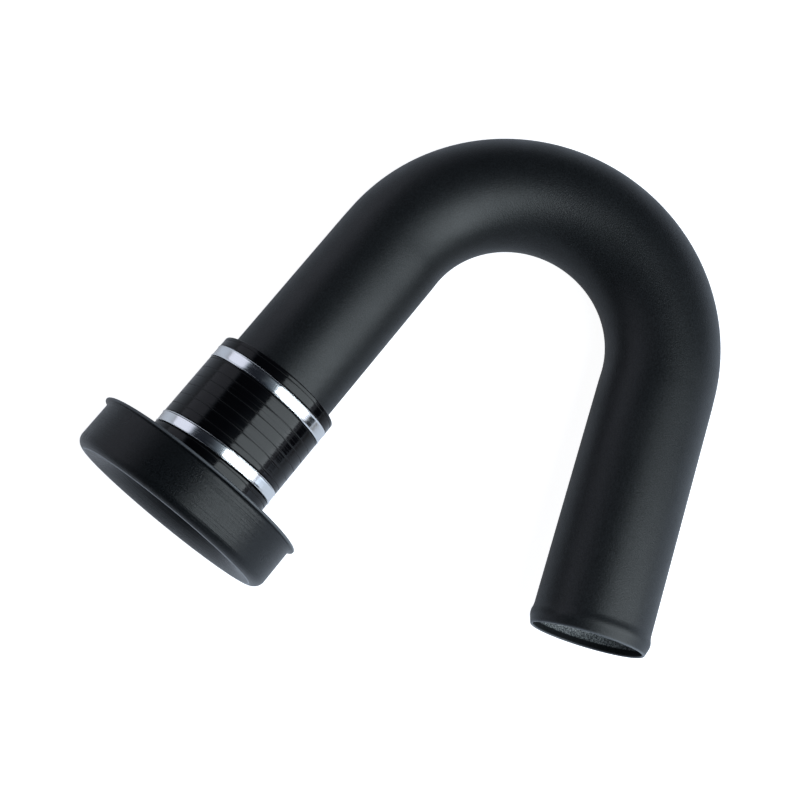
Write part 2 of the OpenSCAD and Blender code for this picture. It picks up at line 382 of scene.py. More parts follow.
def add_node(tree: bpy.types.NodeTree, kind: str, settings: Optional[Dict] = None,
             inputs: Optional[Dict] = None) -> bpy.types.Node:
    """Adds a node with its settings and inputs.

    Args:
        tree: The tree that it goes into.
        kind: The node's type, such as ShaderNodeTexNoise.
        settings: Properties of the node.
        inputs: Socket name or number to a value, or to a socket that is linked.

    Returns:
        The new node.
    """
    node = tree.nodes.new(kind)
    for key, value in (settings or {}).items():
        setattr(node, key, value)
    for key, value in (inputs or {}).items():
        if isinstance(value, bpy.types.NodeSocket):
            tree.links.new(value, node.inputs[key])
        else:
            node.inputs[key].default_value = value
    return node


def new_material(name: str) -> Tuple[bpy.types.Material, bpy.types.NodeTree, bpy.types.Node]:
    """A material with a Principled shader wired to its output.

    Args:
        name: The finish's name.

    Returns:
        The material, its tree and its shader.
    """
    material = bpy.data.materials.new(name)
    material.use_nodes = True
    tree = material.node_tree
    tree.nodes.clear()
    shader = add_node(tree, "ShaderNodeBsdfPrincipled")
    add_node(tree, "ShaderNodeOutputMaterial", {}, {"Surface": shader.outputs[0]})
    return material, tree, shader


def ramp(tree: bpy.types.NodeTree, factor: bpy.types.NodeSocket,
         stops: Sequence[Tuple[float, Colour]]) -> bpy.types.NodeSocket:
    """Adds a colour ramp.

    Args:
        tree: The tree that it goes into.
        factor: The socket that it reads.
        stops: Places from nought to one, each with its colour.

    Returns:
        The socket with the ramp's colour.
    """
    node = add_node(tree, "ShaderNodeValToRGB", {}, {"Fac": factor})
    elements = node.color_ramp.elements
    while len(elements) < len(stops):
        elements.new(0.5)
    for element, (place, colour) in zip(elements, stops):
        element.position = place
        element.color = colour
    return node.outputs["Color"]


def grey(value: float) -> Colour:
    """A grey of one linear value."""
    return (value, value, value, 1.0)


@dataclass(frozen=True)
class PowderCoat:
    """Satin black polyester powder coat, sprayed and baked on aluminium.

    The powder flows into a fine orange-peel grain that breaks the highlight
    into speckle, and it scatters light widely, so the coat looks charcoal where
    it is lit and near black where it is not.  The real grain, and the rings that
    a spinning roller leaves, are finer than a pixel of the photograph, so both
    are drawn as coarse as grain_mm and spin_mm, where they just show.
    """

    name: str
    colour: str = "#16181a"
    roughness: float = 0.42
    specular: float = 0.33
    grain_mm: float = 0.8
    grain_depth_mm: float = 0.22
    grain_dark: float = 0.55
    grain_pale: float = 1.6
    cloud_mm: float = 24
    cloud_share: float = 0.03
    spin_mm: float = 0.0
    spin_depth_mm: float = 0.45
    # Pale colour of the painted highlights laid along edges.
    painted_highlight: str = "#b9bec6"
    # Speck tones of the inner wall: overspray over metal, painted paler as painted light falling in through
    # the mouth.
    lit_overspray_dark: str = "#3c3f41"
    lit_overspray_pale: str = "#a0a4a6"

    def build(self) -> bpy.types.Material:
        """Makes the material.

        Where the "inside" attribute is one, only drifting powder has landed, and
        pale specks of metal show through it; these tones are also painted paler, as
        painted light for the light that falls into the mouth.  Where the edge mark is one, a pale painted
        highlight lies along the edge.

        Returns:
            The material.
        """
        material, tree, shader = new_material(self.name)
        place = add_node(tree, "ShaderNodeTexCoord").outputs["Object"]
        grain = add_node(tree, "ShaderNodeTexNoise", {}, {
            "Vector": place, "Scale": 1 / (self.grain_mm * MM), "Detail": 1.5, "Roughness": 0.6})
        cloud = add_node(tree, "ShaderNodeTexNoise", {}, {
            "Vector": place, "Scale": 1 / (self.cloud_mm * MM), "Detail": 2.0, "Roughness": 0.5})
        base = np.array(linear(self.colour))
        dark, pale = tuple(base * self.grain_dark), tuple(base * self.grain_pale)
        tone = ramp(tree, grain.outputs["Fac"], [(0.36, dark), (0.64, pale)])
        # The inner wall's tones: overspray specks, painted paler as painted light.
        lit_overspray = ramp(tree, grain.outputs["Fac"], [
            (0.42, linear(self.lit_overspray_dark)), (0.66, linear(self.lit_overspray_pale))])
        inside = add_node(tree, "ShaderNodeAttribute", {"attribute_name": "inside"}).outputs["Fac"]
        mixed = add_node(tree, "ShaderNodeMix", {"data_type": "RGBA"}, {
            "Factor": inside, MIX_FIRST: tone, MIX_SECOND: lit_overspray})
        shader.inputs["IOR"].default_value = 1.5
        shader.inputs["Specular IOR Level"].default_value = self.specular
        # The edge mark paints a pale highlight along edges.
        painted_highlight = add_node(tree, "ShaderNodeAttribute", {"attribute_name": "painted_highlight"}).outputs["Fac"]
        edged = add_node(tree, "ShaderNodeMix", {"data_type": "RGBA"}, {
            "Factor": painted_highlight, MIX_FIRST: mixed.outputs[2], MIX_SECOND: linear(self.painted_highlight)})
        tree.links.new(edged.outputs[2], shader.inputs["Base Color"])
        rough = add_node(tree, "ShaderNodeMapRange", {}, {
            "Value": cloud.outputs["Fac"], **NOISE_SPAN,
            "To Min": self.roughness - self.cloud_share, "To Max": self.roughness + self.cloud_share})
        tree.links.new(rough.outputs["Result"], shader.inputs["Roughness"])
        bump = add_node(tree, "ShaderNodeBump", {}, {
            "Height": grain.outputs["Fac"], "Distance": self.grain_depth_mm * MM, "Strength": 0.7})
        normal = bump.outputs["Normal"]
        if self.spin_mm:
            normal = self.spin_lines(tree, normal)
        tree.links.new(normal, shader.inputs["Normal"])
        return material

    def spin_lines(self, tree: bpy.types.NodeTree, under: bpy.types.NodeSocket) -> bpy.types.NodeSocket:
        """Rings that the spinning roller leaves, through the coat.

        Args:
            tree: The material's tree.
            under: The normal that they are laid on.

        Returns:
            The normal with the rings.
        """
        uv = add_node(tree, "ShaderNodeUVMap", {"uv_map": "surface"}).outputs["UV"]
        along = add_node(tree, "ShaderNodeSeparateXYZ", {}, {"Vector": uv}).outputs["Y"]
        scaled = add_node(tree, "ShaderNodeMath", {"operation": "MULTIPLY"}, {
            0: along, 1: 1 / (self.spin_mm * MM)})
        rings = add_node(tree, "ShaderNodeTexNoise", {"noise_dimensions": "1D"}, {
            "W": scaled.outputs[0], "Scale": 1.0, "Detail": 3.0, "Roughness": 0.6})
        return add_node(tree, "ShaderNodeBump", {}, {
            "Height": rings.outputs["Fac"], "Distance": self.spin_depth_mm * MM, "Strength": 0.5,
            "Normal": under}).outputs["Normal"]


@dataclass(frozen=True)
class HoseRubber:
    """Gloss black silicone rubber, wrapped on a mandrel and cured.

    The cured skin is smooth and mirrors the lamps sharply; the wrapping tape's
    edges run round it as fine lines.  The tape's weave leaves ripples that are
    finer than a pixel of the photograph, so they are drawn as coarse as
    ripple_mm, where they just show as streaks in the highlight.
    """

    name: str
    colour: str = "#060608"
    roughness: float = 0.055
    line_roughness: float = 0.5
    streak_roughness: float = 0.22
    ripple_mm: float = 1.1
    ripple_depth_mm: float = 0.12
    haze_mm: float = 6
    haze_share: float = 1.8

    def build(self) -> bpy.types.Material:
        """Makes the material, duller where the "wrap_line" attribute is one.

        Returns:
            The material.
        """
        material, tree, shader = new_material(self.name)
        shader.inputs["Base Color"].default_value = linear(self.colour)
        shader.inputs["IOR"].default_value = 1.31
        place = add_node(tree, "ShaderNodeTexCoord").outputs["Object"]
        haze = add_node(tree, "ShaderNodeTexNoise", {}, {
            "Vector": place, "Scale": 1 / (self.haze_mm * MM), "Detail": 3.0, "Roughness": 0.6})
        rough = add_node(tree, "ShaderNodeMapRange", {}, {
            "Value": haze.outputs["Fac"], **NOISE_SPAN,
            "To Min": self.roughness, "To Max": self.roughness * self.haze_share})
        mark = add_node(tree, "ShaderNodeAttribute", {"attribute_name": "wrap_line"}).outputs["Fac"]
        lined = add_node(tree, "ShaderNodeMath", {"operation": "MULTIPLY_ADD"}, {
            0: mark, 1: self.line_roughness, 2: rough.outputs["Result"]}).outputs[0]
        uv = add_node(tree, "ShaderNodeUVMap", {"uv_map": "surface"}).outputs["UV"]
        along = add_node(tree, "ShaderNodeSeparateXYZ", {}, {"Vector": uv}).outputs["Y"]
        scaled = add_node(tree, "ShaderNodeMath", {"operation": "MULTIPLY"}, {
            0: along, 1: 1 / (self.ripple_mm * MM)})
        ripple = add_node(tree, "ShaderNodeTexNoise", {"noise_dimensions": "1D"}, {
            "W": scaled.outputs[0], "Scale": 1.0, "Detail": 3.0})
        dull = add_node(tree, "ShaderNodeMapRange", {}, {
            "Value": ripple.outputs["Fac"], "From Min": 0.5, "From Max": 0.75,
            "To Min": 0.0, "To Max": self.streak_roughness}).outputs["Result"]
        lined = add_node(tree, "ShaderNodeMath", {"operation": "ADD"}, {0: lined, 1: dull}).outputs[0]
        tree.links.new(lined, shader.inputs["Roughness"])
        bump = add_node(tree, "ShaderNodeBump", {}, {
            "Height": ripple.outputs["Fac"], "Distance": self.ripple_depth_mm * MM, "Strength": 0.5})
        tree.links.new(bump.outputs["Normal"], shader.inputs["Normal"])
        return material


@dataclass(frozen=True)
class Steel:
    """Metal strip or bar with a mirror or plated finish.

    Rolled stainless strip, buffed bright, mirrors the room with faint streaks
    along the roll; zinc plate is a little greyer and softer.  Real streaks are
    finer than a pixel of the photograph and are drawn as coarse as streak_mm.
    """

    name: str
    colour: str
    roughness: float
    streak_mm: float
    anisotropy: float = 0.0
    lay: Lay = Lay.ROLLED
    streak_length: float = 40
    streak_dark: float = 0.93
    streak_depth_mm: float = 0.02

    def build(self) -> bpy.types.Material:
        """Makes the material, whose streaks are streak_length times as long as wide
        where it is rolled.

        Returns:
            The material.
        """
        material, tree, shader = new_material(self.name)
        shader.inputs["Metallic"].default_value = 1.0
        shader.inputs["Anisotropic"].default_value = self.anisotropy
        if self.lay is Lay.ROLLED:
            spot = add_node(tree, "ShaderNodeUVMap", {"uv_map": "surface"}).outputs["UV"]
            scale = (1 / (self.streak_length * self.streak_mm * MM), 1 / (self.streak_mm * MM), 1.0)
        else:
            spot = add_node(tree, "ShaderNodeTexCoord").outputs["Object"]
            scale = (1 / (self.streak_mm * MM),) * 3
        size = add_node(tree, "ShaderNodeMapping", {}, {"Vector": spot, "Scale": scale})
        streak = add_node(tree, "ShaderNodeTexNoise", {}, {
            "Vector": size.outputs["Vector"], "Scale": 1.0, "Detail": 3.0, "Roughness": 0.55})
        base = np.array(linear(self.colour))
        tone = ramp(tree, streak.outputs["Fac"], [
            (0.3, tuple(base * self.streak_dark)), (0.7, tuple(base))])
        tree.links.new(tone, shader.inputs["Base Color"])
        rough = add_node(tree, "ShaderNodeMapRange", {}, {
            "Value": streak.outputs["Fac"], **NOISE_SPAN,
            "To Min": self.roughness * 0.7, "To Max": self.roughness * 1.4})
        tree.links.new(rough.outputs["Result"], shader.inputs["Roughness"])
        bump = add_node(tree, "ShaderNodeBump", {}, {
            "Height": streak.outputs["Fac"], "Distance": self.streak_depth_mm * MM, "Strength": 0.12})
        tree.links.new(bump.outputs["Normal"], shader.inputs["Normal"])
        return material


@dataclass
class IntakeTube:
    """The bent tube, from the rim of its beaded mouth to its end in the coupler."""

    pipe: PipeLine
    coat: bpy.types.Material
    radius: float = 38.1 * MM
    wall: float = 1.8 * MM
    bend_slim: float = 0.15 * MM
    slim_over: float = 6 * MM
    mouth_leg: float = 174 * MM
    filter_leg: float = 158 * MM
    bead_rise: float = 0.95 * MM
    bead_arc: float = 8.3 * MM
    bead_fillet: float = 13.5 * MM
    rim_slope_deg: float = 17.6
    rim_reach: float = 7.6 * MM
    rim_step: float = 0.6 * MM
    # A painted highlight along the rim's edge.
    rim_highlight: float = 0.25
    rim_highlight_over: float = 0.7 * MM
    # Past this mark in from the mouth, the inner wall is painted pale: overspray, and painted light falling
    # in through the mouth.
    pale_inside_from: float = 4.6 * MM
    edge: float = 0.3 * MM
    step: float = 3.2 * MM
    around: int = 168

    def mouth_profile(self) -> Array:
        """The beaded mouth: the flare's hollow, the bead's crest, the slope down to
        the rim, the rim's round edge, and back inside.

        The rim's middle lies a straight run down the slope from the crest's end:
        run = (reach - wall / 2 - m sin a) / cos a, with m the crest's middle radius.

        Returns:
            Rows of radius and distance out from the bend.
        """
        slope = math.radians(self.rim_slope_deg)
        swing = math.degrees(math.acos(1 - self.bead_rise / (self.bead_arc + self.bead_fillet)))
        middle = self.bead_arc - self.wall / 2
        crest = (self.radius + self.bead_rise - self.bead_arc, self.mouth_leg - self.rim_reach)
        flare_at = crest[1] - (self.bead_arc + self.bead_fillet) * math.sin(math.radians(swing))
        hollow = (self.radius + self.bead_fillet, flare_at)
        run = (self.rim_reach - self.wall / 2 - middle * math.sin(slope)) / math.cos(slope)
        rim_r = crest[0] + middle * math.cos(slope) - run * math.sin(slope)
        rim = (rim_r, self.mouth_leg - self.wall / 2)
        out_arc = arc(crest, self.bead_arc, -swing, self.rim_slope_deg, 16)
        rim_arc = arc(rim, self.wall / 2, self.rim_slope_deg, self.rim_slope_deg + 180, 15)
        in_arc = arc(crest, self.bead_arc - self.wall, self.rim_slope_deg, -swing, 14)
        return np.concatenate([
            arc(hollow, self.bead_fillet, 180, 180 - swing, 12)[:-1], out_arc[:-1],
            line(out_arc[-1], rim_arc[0], self.rim_step), rim_arc[:-1],
            line(rim_arc[-1], in_arc[0], self.rim_step), in_arc[:-1],
            arc(hollow, self.bead_fillet + self.wall, 180 - swing, 180, 10),
        ])

    def profile(self) -> Array:
        """The wall's whole closed profile: outside, mouth, inside and the cut end's lip.

        Returns:
            Rows of radius and station on the centre line.
        """
        mouth = self.mouth_profile()
        mouth[:, 1] *= -1
        end = self.pipe.bend_length + self.filter_leg
        inner = self.radius - self.wall
        outside = line((self.radius, end - self.edge), mouth[0], self.step)
        inside = line(mouth[-1], (inner, end - self.edge), self.step)[1:]
        lip = np.array([
            (inner, end - self.edge), (inner + self.edge, end),
            (self.radius - self.edge, end)])
        return np.concatenate([outside, mouth, inside, lip])

    def build(self) -> bpy.types.Object:
        """The tube: P(i, t) = C(s_i) + r_i (cos t N(s_i) + sin t B), with C the centre line.

        The wall is bend_slim thinner on each face round the bend, where it was drawn
        over the mandrel, and the thinning fades over slim_over into each leg.  The
        rim gets a painted highlight of strength * exp(-(d / over)^2), with d the distance from its end.

        Returns:
            The finished piece.
        """
        profile = self.profile()
        radius, stations = profile[:, 0], profile[:, 1]
        centres, outward = self.pipe.at(stations)
        into = np.minimum(stations, self.pipe.bend_length - stations) / self.slim_over
        face = np.where(radius > self.radius - self.wall / 2, 1, -1)
        radius = radius - self.bend_slim * np.clip(into + 1, 0, 1) * face
        theta = np.linspace(0, 2 * np.pi, self.around, endpoint=False)
        ring = (np.cos(theta)[None, :, None] * outward[:, None, :]
                + np.sin(theta)[None, :, None] * self.pipe.normal)
        grid = centres[:, None, :] + radius[:, None, None] * ring
        piece = grid_mesh("bent_tube", grid, True, True)
        # The inner wall well past the rim is painted pale, partly overspray and partly painted light; next
        # to the rim it keeps the dark coat.
        past_rim = np.arange(len(stations)) > np.argmin(stations)
        deep = past_rim & (-stations < self.mouth_leg - self.pale_inside_from)
        set_values(piece, "inside", np.repeat(deep.astype(float), self.around))
        # A painted highlight along the rim.
        edge_highlight = self.rim_highlight * np.exp(-(((stations + self.mouth_leg) / self.rim_highlight_over) ** 2))
        set_values(piece, "painted_highlight", np.repeat(edge_highlight, self.around))
        return finish_piece(piece, self.coat, Slot.POWDER_COAT, "intake_tube")


def finish_piece(piece: bpy.types.Object, material: bpy.types.Material, slot: Slot,
                 *nodes: str) -> bpy.types.Object:
    """Gives a piece its material, sets it on the root body and in its nodes' place.

    Args:
        piece: The piece.
        material: Its finish.
        slot: The record's slot; not used.
        nodes: The solids that it stands for.

    Returns:
        The piece.
    """
    piece.data.materials.clear()
    piece.data.materials.append(material)
    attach(piece, "root")
    if nodes:
        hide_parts(*nodes)
    return piece


@dataclass(frozen=True)
class ClampPlace:
    """Where a clamp sits on the filter leg: its station, how far it leans towards
    the adapter and where round the leg it leans most, and where its screw is."""

    name: str
    station: float
    lean_deg: float
    lean_at_deg: float
    screw_at_deg: float

    @property
    def lean(self) -> float:
        """The lean in radians."""
        return math.radians(self.lean_deg)

    @property
    def lean_at(self) -> float:
        """The lean's place in radians."""
        return math.radians(self.lean_at_deg)

    def axes(self, leg: Axes) -> Axes:
        """The clamp's own axes: the leg's, moved, leaned and turned to the screw."""
        leaned = leg.moved(self.station).turned(self.lean_at).leaned(self.lean)
        return leaned.turned(math.radians(self.screw_at_deg) - self.lean_at)


UPPER_CLAMP = ClampPlace("upper_clamp", 131.2 * MM, 1.9, 250, 96)
LOWER_CLAMP = ClampPlace("lower_clamp", 183.6 * MM, 2.4, 355, 82)


@dataclass
class Coupler:
    """The wrapped rubber hose coupler, with the two grooves that its clamps press in."""

    leg: Axes
    rubber: bpy.types.Material
    seats: Sequence[ClampPlace]
    inner: float = 38.25 * MM
    wall: float = 5.8 * MM
    start: float = 120 * MM
    length: float = 79 * MM
    corner: float = 0.8 * MM
    wrap_start: float = 2.6 * MM
    wrap_pitch: float = 7.4 * MM
    wrap_depth: float = 0.1 * MM
    wrap_width: float = 0.6 * MM
    wrap_stop: float = 1.3 * MM
    wrap_fade: float = 0.8 * MM
    squeeze: float = 0.8 * MM
    seat_half: float = 4.4 * MM
    seat_over: float = 0.35 * MM
    seat_soft: float = 0.5 * MM
    bore_lip: float = 0.35 * MM
    bore_step: float = 6 * MM
    around: int = 256
    step: float = 0.3 * MM

    @property
    def radius(self) -> float:
        """Outer radius: inner + wall."""
        return self.inner + self.wall

    def build(self) -> bpy.types.Object:
        """The coupler: a turned profile, lower at the wrap lines and under the clamps.

        r(s, t) = R - d exp(-(x / w)^2) at each wrap line, with x the distance
        from it and w half its width, and R - squeeze within a seat, whose edges
        are a smooth step; a seat's place swings as
        s0 + tan(lean) R cos(t - lean's place).

        Returns:
            The finished piece.
        """
        end = self.start + self.length
        outer = self.radius
        stations = np.arange(self.start + self.corner, end - self.corner, self.step)
        theta = np.linspace(0, 2 * np.pi, self.around, endpoint=False)
        radius = np.full((len(stations), len(theta)), outer)
        middles = [
            seat.station + math.tan(seat.lean) * outer * np.cos(theta - seat.lean_at)
            for seat in self.seats]
        near = np.min([np.abs(stations[:, None] - middle) for middle in middles], axis=0)
        wraps = np.arange(self.start + self.wrap_start, end - self.corner - self.wrap_stop, self.wrap_pitch)
        clear = np.clip((near - self.seat_half) / self.wrap_fade, 0, 1)
        gap = np.min(np.abs(stations[:, None] - wraps), axis=1)
        mark = clear * np.exp(-((gap / (self.wrap_width / 2)) ** 2))[:, None]
        radius -= self.wrap_depth * mark
        sunk = np.clip((self.seat_half + self.seat_over - near) / self.seat_soft, 0, 1)
        radius -= self.squeeze * (sunk * sunk * (3 - 2 * sunk))
        side = np.stack([
            radius * np.cos(theta), radius * np.sin(theta), stations[:, None] + 0 * theta], -1)
        first = arc((outer - self.corner, self.start + self.corner), self.corner, -90, 0, 12)[:-1]
        last = arc((outer - self.corner, end - self.corner), self.corner, 0, 90, 12)
        lip = self.bore_lip
        bore = np.concatenate([
            arc((self.inner + lip, end - lip), lip, 90, 180, 5),
            line((self.inner, end - 2 * lip), (self.inner, self.start + 2 * lip), self.bore_step),
            arc((self.inner + lip, self.start + lip), lip, 180, 270, 5)])
        ends = [turn_profile(part, theta) for part in (first, last, bore)]
        grid = np.concatenate([ends[0], side, ends[1], ends[2]])
        piece = grid_mesh("hose_coupler", self.leg.place(grid), True, True)
        marks = np.zeros(grid.shape[:2])
        marks[len(first) : len(first) + len(stations)] = mark
        set_values(piece, "wrap_line", marks)
        return finish_piece(piece, self.rubber, Slot.COUPLER_RUBBER, "coupler_sleeve")


@dataclass
class FilterAdapter:
    """The spun adapter: neck, bell, rounded corner, wall and flared lip, all of one sheet."""

    leg: Axes
    coat: bpy.types.Material
    radius: float = 73.4 * MM
    wall: float = 2 * MM
    depth: float = 33.8 * MM
    lip_at: float = 198.4 * MM
    lip_reach: float = 2.8 * MM
    lip_fillet: float = 1.5 * MM
    corner: float = 7 * MM
    bell_depth: float = 27 * MM
    neck_radius: float = 38.1 * MM
    neck_at: float = 162 * MM
    # Painted highlights along the crest and the lip's edge, where they catch the light.
    crest_highlight: float = 1.0
    crest_highlight_over: float = 0.65 * MM
    lip_highlight: float = 0.2
    lip_highlight_over: float = 0.9 * MM
    around: int = 256
    step: float = 1.6 * MM

    def profile(self) -> Array:
        """The sheet's closed section, from the throat up the neck's end and back, over
        the bell's far side, the wall's inside, the lip and the wall to the bell.

        Returns:
            Rows of radius and station.
        """
        crest = self.lip_at + self.depth
        throat_at = crest - self.bell_depth
        crest_r = self.radius - self.corner
        throat_r = self.neck_radius - self.wall
        corner = (crest_r, crest - self.corner)
        turn_in = (self.radius + self.lip_fillet, self.lip_at + self.wall + self.lip_fillet)
        edge = (self.radius + self.lip_reach - self.wall / 2, self.lip_at + self.wall / 2)
        bell = (crest_r, throat_at)
        inner_wall = self.radius - self.wall
        return np.concatenate([
            line((throat_r, throat_at), (throat_r, self.neck_at), self.step),
            line((throat_r, self.neck_at), (self.neck_radius, self.neck_at), self.step),
            line((self.neck_radius, self.neck_at), (self.neck_radius, throat_at), self.step),
            quarter_ellipse(
                bell, (crest_r - self.neck_radius, self.bell_depth - self.wall), 180, 90, 36)[:-1],
            arc(corner, self.corner - self.wall, 90, 0, 12),
            line((inner_wall, corner[1]), (inner_wall, turn_in[1]), self.step)[1:],
            arc(turn_in, self.lip_fillet + self.wall, 180, 270, 12),
            arc(edge, self.wall / 2, -90, 90, 12),
            arc(turn_in, self.lip_fillet, 270, 180, 10),
            line((self.radius, turn_in[1]), (self.radius, corner[1]), self.step)[1:],
            arc(corner, self.corner, 0, 90, 22),
            quarter_ellipse(bell, (crest_r - throat_r, self.bell_depth), 90, 180, 48)[1:-1],
        ])

    def build(self) -> bpy.types.Object:
        """Turns the section about the leg, and paints a highlight along its crest and the lip's edge:
        share * exp(-(d / over)^2), with d the distance from the edge.

        Returns:
            The finished piece.
        """
        profile = self.profile()
        piece = revolved("spun_adapter", self.leg, profile, self.around)
        crest = (self.radius - self.corner, self.lip_at + self.depth)
        lip = (self.radius + self.lip_reach, self.lip_at + self.wall / 2)
        edges = ((crest, self.crest_highlight, self.crest_highlight_over), (lip, self.lip_highlight, self.lip_highlight_over))
        # The painted highlights, strongest at each edge.
        edge_highlight = [
            share * np.exp(-((np.linalg.norm(profile - edge, axis=1) / over) ** 2))
            for edge, share, over in edges]
        set_values(piece, "painted_highlight", np.repeat(edge_highlight[0] + edge_highlight[1], self.around))
        return finish_piece(piece, self.coat, Slot.ADAPTER_COAT, "filter_adapter")


@dataclass
class ClampBand:
    """A worm clamp's steel band with rolled edges, and its slotted tail lapped over it."""

    place: ClampPlace
    leg: Axes
    steel: bpy.types.Material
    inner: float = 43.4 * MM
    thickness: float = 0.7 * MM
    width: float = 8 * MM
    ridge_rise: float = 0.35 * MM
    ridge_width: float = 1.1 * MM
    flat_step: float = 1.2 * MM
    tail_width: float = 5.5 * MM
    tail_rim: float = 0.12 * MM
    tail_sunk: float = 0.2 * MM
    tail_steps: int = 330
    tail_rows: int = 45
    tail_from_deg: float = -8.3
    tail_to_deg: float = 42.3
    slots_from_deg: float = 10.3
    slots_to_deg: float = 34.0
    slot_pitch: float = 3.2 * MM
    slot_width: float = 1 * MM
    slot_length: float = 3.7 * MM
    slot_slant_deg: float = 8
    slot_depth: float = 0.47 * MM
    around: int = 288

    @property
    def outer(self) -> float:
        """Outer radius of the strip: inner + thickness."""
        return self.inner + self.thickness

    def profile(self) -> Array:
        """The strip's closed section: flat inside, and outside two ridges
        h(x) = rise sin^2(pi x / w) along the edges.

        Returns:
            Rows of radius and place across the strip.
        """
        half = self.width / 2
        share = np.linspace(0, 1, 13)
        bump = self.ridge_rise * np.sin(np.pi * share) ** 2
        edge = 0.1 * MM
        first = np.stack([self.outer + bump, -half + self.ridge_width * share], 1)
        last = np.stack([self.outer + bump, half - self.ridge_width * (1 - share)], 1)
        middle = line(first[-1], last[0], self.flat_step)[1:]
        inside = np.array([
            (self.outer - edge, half), (self.inner + edge, half), (self.inner, half - edge),
            (self.inner, edge - half), (self.inner + edge, -half), (self.outer - edge, -half)])
        return np.concatenate([first, middle, last, inside])

    def tail(self) -> bpy.types.Object:
        """The tail: a thin strip round the band, with slanted slots pressed into it.

        Its top is r(a, z) = outer + thickness - depth * slot(a, z), where slot is one
        inside |z'| < length / 2 and |x'| < width / 2 of the nearest slot, with soft
        edges, and its ends and edges are rounded down to the band.

        Returns:
            The tail's mesh.
        """
        angle = np.radians(np.linspace(self.tail_from_deg, self.tail_to_deg, self.tail_steps))
        across = np.linspace(-0.5, 0.5, self.tail_rows) * self.tail_width
        top = self.outer + self.thickness
        pitch = self.slot_pitch / self.outer
        first = math.radians(self.slots_from_deg) + pitch / 2
        count = int((math.radians(self.slots_to_deg) - first) / pitch) + 1
        nearest = first + pitch * np.clip(np.round((angle - first) / pitch), 0, count - 1)
        slant = math.radians(self.slot_slant_deg)
        x = (angle - nearest)[:, None] * top
        z = across[None, :]
        along = math.cos(slant) * z - math.sin(slant) * x
        beside = math.sin(slant) * z + math.cos(slant) * x
        soft = 0.08 * MM
        inside = np.clip((self.slot_width / 2 - np.abs(beside)) / soft + 0.5, 0, 1)
        inside = inside * np.clip((self.slot_length / 2 - np.abs(along)) / soft + 0.5, 0, 1)
        radius = top - self.slot_depth * inside
        hair = 1e-6
        radius = np.where(np.abs(z) > self.tail_width / 2 - hair, top - self.tail_rim, radius)
        floor_r = self.outer - self.tail_sunk
        low = np.full((len(angle), 1), floor_r)
        radius = np.concatenate([low, radius, low], 1)
        across = np.concatenate([across[:1], across, across[-1:]])
        local = np.stack([
            radius * np.cos(angle)[:, None], radius * np.sin(angle)[:, None], across + 0 * radius], -1)
        ends = [
            np.tile((floor_r * math.cos(a), floor_r * math.sin(a), 0.0), (1, local.shape[1], 1))
            for a in (angle[0], angle[-1])]
        local = np.concatenate([ends[0], local, ends[1]])
        piece = grid_mesh(self.place.name + "_tail", self.place.axes(self.leg).place(local), False, True)
        merge_doubles(piece)
        return piece

    def build(self) -> List[bpy.types.Object]:
        """Turns the strip about its clamp's axis and lays the tail on it.

        Returns:
            The finished strip and tail.
        """
        strip = revolved(self.place.name + "_strip", self.place.axes(self.leg), self.profile(), self.around)
        node = self.place.name + "_band"
        return [
            finish_piece(strip, self.steel, Slot.BAND_STEEL, node),
            finish_piece(self.tail(), self.steel, Slot.BAND_STEEL, node)]


@dataclass(frozen=True)
class View:
    """The photograph's camera: where it stands, what it looks at and how it is turned."""

    place: Tuple[float, float, float] = (0.06202, -0.19518, 1.01517)
    forward: Tuple[float, float, float] = (-0.07179, 0.17087, -0.98268)
    up: Tuple[float, float, float] = (-0.2963, 0.93709, 0.18459)
    focal_px: float = 1500

    def build(self) -> bpy.types.Object:
        """Makes the camera: its lens is focal_px / image width * sensor width.

        Returns:
            The camera.
        """
        data = bpy.data.cameras.new("photo_view")
        data.sensor_width = SENSOR_MM
        data.lens = self.focal_px / IMAGE_WIDTH * SENSOR_MM
        data.clip_start, data.clip_end = 0.05, 50
        camera = bpy.data.objects.new("photo_view", data)
        bpy.context.scene.collection.objects.link(camera)
        back = -Vector(self.forward).normalized()
        right = Vector(self.up).cross(back).normalized()
        top = back.cross(right)
        turn = Matrix((right, top, back)).transposed().to_4x4()
        camera.matrix_world = Matrix.Translation(self.place) @ turn
        bpy.context.scene.camera = camera
        return camera


@dataclass(frozen=True)
class Panel:
    """A soft box: a flat area lamp that faces the object, dimmer towards its top."""

    name: str
    place: Tuple[float, float, float]
    aim: Tuple[float, float, float]
    size: Tuple[float, float]
    watts: float
    colour: str
    top_share: float

    def build(self) -> bpy.types.Object:
        """Makes the lamp, turned to its aim.

        Returns:
            The lamp.
        """
        data = bpy.data.lights.new(self.name, "AREA")
        data.shape = "RECTANGLE"
        data.size, data.size_y = self.size
        data.energy = self.watts
        data.color = linear(self.colour)[:3]
        data.use_nodes = True
        tree = data.node_tree
        spot = add_node(tree, "ShaderNodeNewGeometry").outputs["Parametric"]
        height = add_node(tree, "ShaderNodeSeparateXYZ", {}, {"Vector": spot}).outputs["Y"]
        share = add_node(tree, "ShaderNodeMapRange", {}, {
            "Value": height, "From Min": 0.0, "From Max": 1.0, "To Min": 1.0, "To Max": self.top_share})
        lamp_output = next(node for node in tree.nodes if node.type == "EMISSION")
        tree.links.new(share.outputs["Result"], lamp_output.inputs["Strength"])
        lamp = bpy.data.objects.new(self.name, data)
        bpy.context.scene.collection.objects.link(lamp)
        way = Vector(self.aim) - Vector(self.place)
        turn = way.to_track_quat("-Z", "Y").to_matrix().to_4x4()
        lamp.matrix_world = Matrix.Translation(self.place) @ turn
        return lamp


